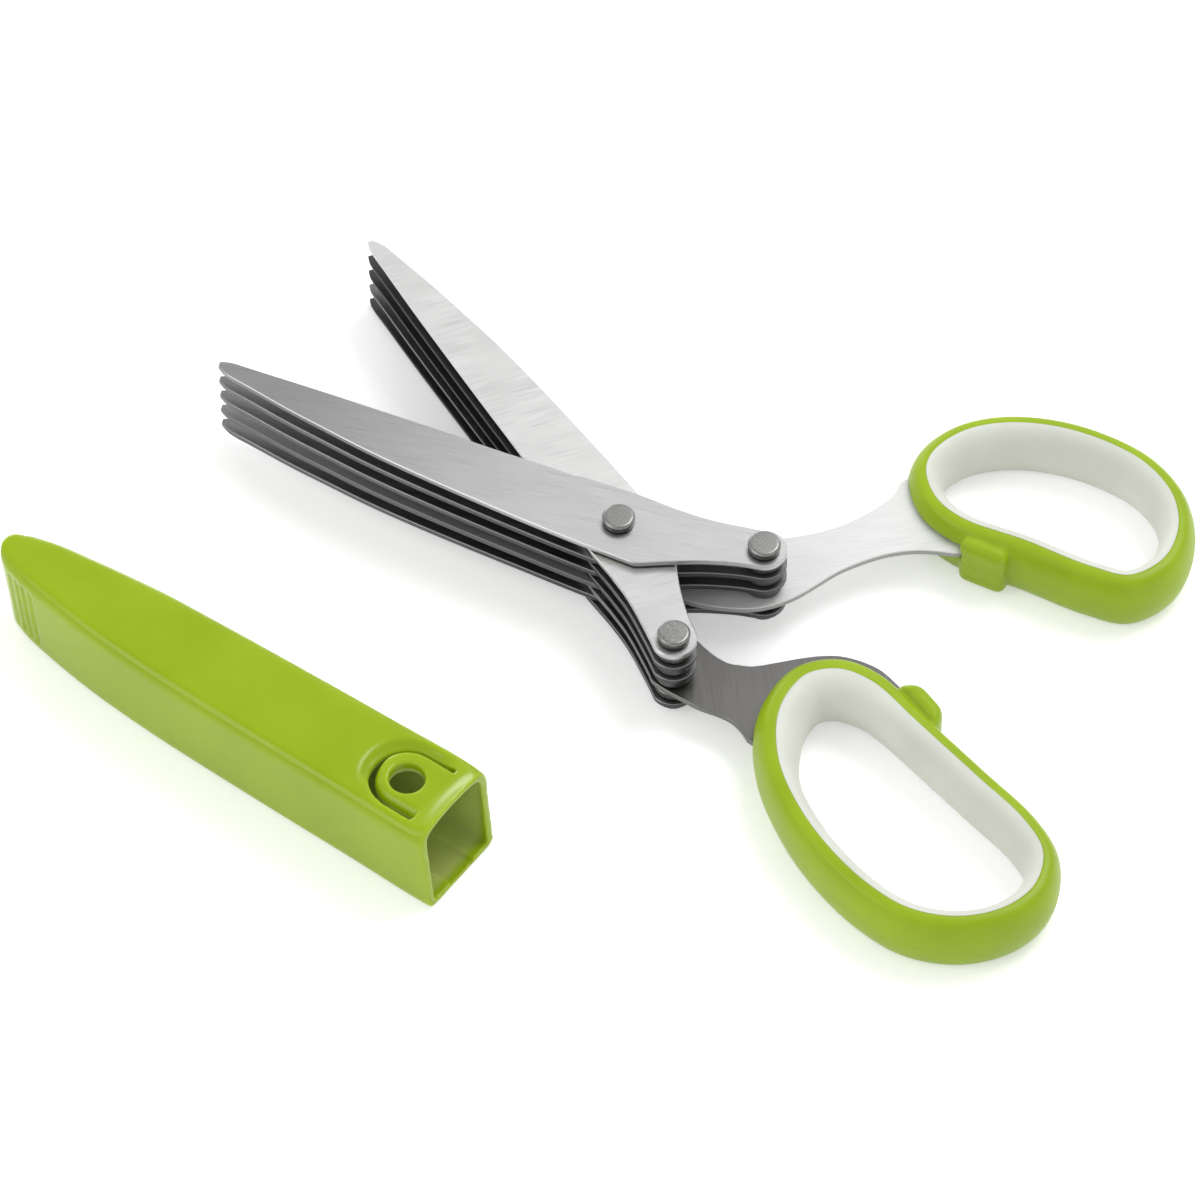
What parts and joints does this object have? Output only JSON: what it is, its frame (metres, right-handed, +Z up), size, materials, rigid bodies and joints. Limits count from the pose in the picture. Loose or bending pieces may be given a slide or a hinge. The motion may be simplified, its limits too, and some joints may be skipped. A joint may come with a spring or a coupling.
{
  "type": "herb scissors",
  "caption": "Herb scissors with a stack of interleaved parallel blades on one pivot, two cushioned finger loops and a slide-on blade cover.",
  "frame": {"origin": "on the pivot rivet's axis, at the level of the table that the scissors and the cover lie on", "axes": "+X from the pivot between the two finger loops, -X between the open blades to their points, +Z up along the pivot's axis, out of the top rivet head"},
  "size_m": [0.1906, 0.1625, 0.0213],
  "materials": {
    "blade_steel": "brushed stainless sheet, ground along the cutting edge",
    "tang_steel": "brushed stainless sheet, cross-brushed",
    "rivet_steel": "dull turned steel",
    "handle_green": "satin moulded lime green plastic",
    "liner_white": "soft satin white moulded lining",
    "cover_green": "glossy moulded lime green plastic"
  },
  "bodies": {
    "half_b": {"blade_b1": "blade_steel", "blade_b2": "blade_steel", "blade_b3": "blade_steel", "blade_b4": "tang_steel", "blade_b5": "blade_steel", "tail_rivet_b": "rivet_steel", "spacer_b1": "rivet_steel", "spacer_b2": "rivet_steel", "spacer_b3": "rivet_steel", "spacer_b4": "rivet_steel", "handle_b_shell": "handle_green", "handle_b_liner": "liner_white", "pivot_rivet": "rivet_steel"},
    "half_a": {"blade_a1": "blade_steel", "blade_a2": "blade_steel", "blade_a3": "blade_steel", "blade_a4": "tang_steel", "blade_a5": "blade_steel", "tail_rivet_a": "rivet_steel", "spacer_a1": "rivet_steel", "spacer_a2": "rivet_steel", "spacer_a3": "rivet_steel", "spacer_a4": "rivet_steel", "handle_a_shell": "handle_green", "handle_a_liner": "liner_white"},
    "cover": {"cover": "cover_green"}
  },
  "joints": [
    {"name": "pivot", "type": "hinge", "parent": "half_b", "child": "half_a", "pos_m": [0, 0, 0], "axis": [0, 0, 1], "range_deg": [-29.5, 33]},
    {"name": "cover_lift", "type": "slide", "parent": "half_b", "child": "cover", "axis": [0, 0, 1], "range_m": [0, 0.08]}
  ]
}
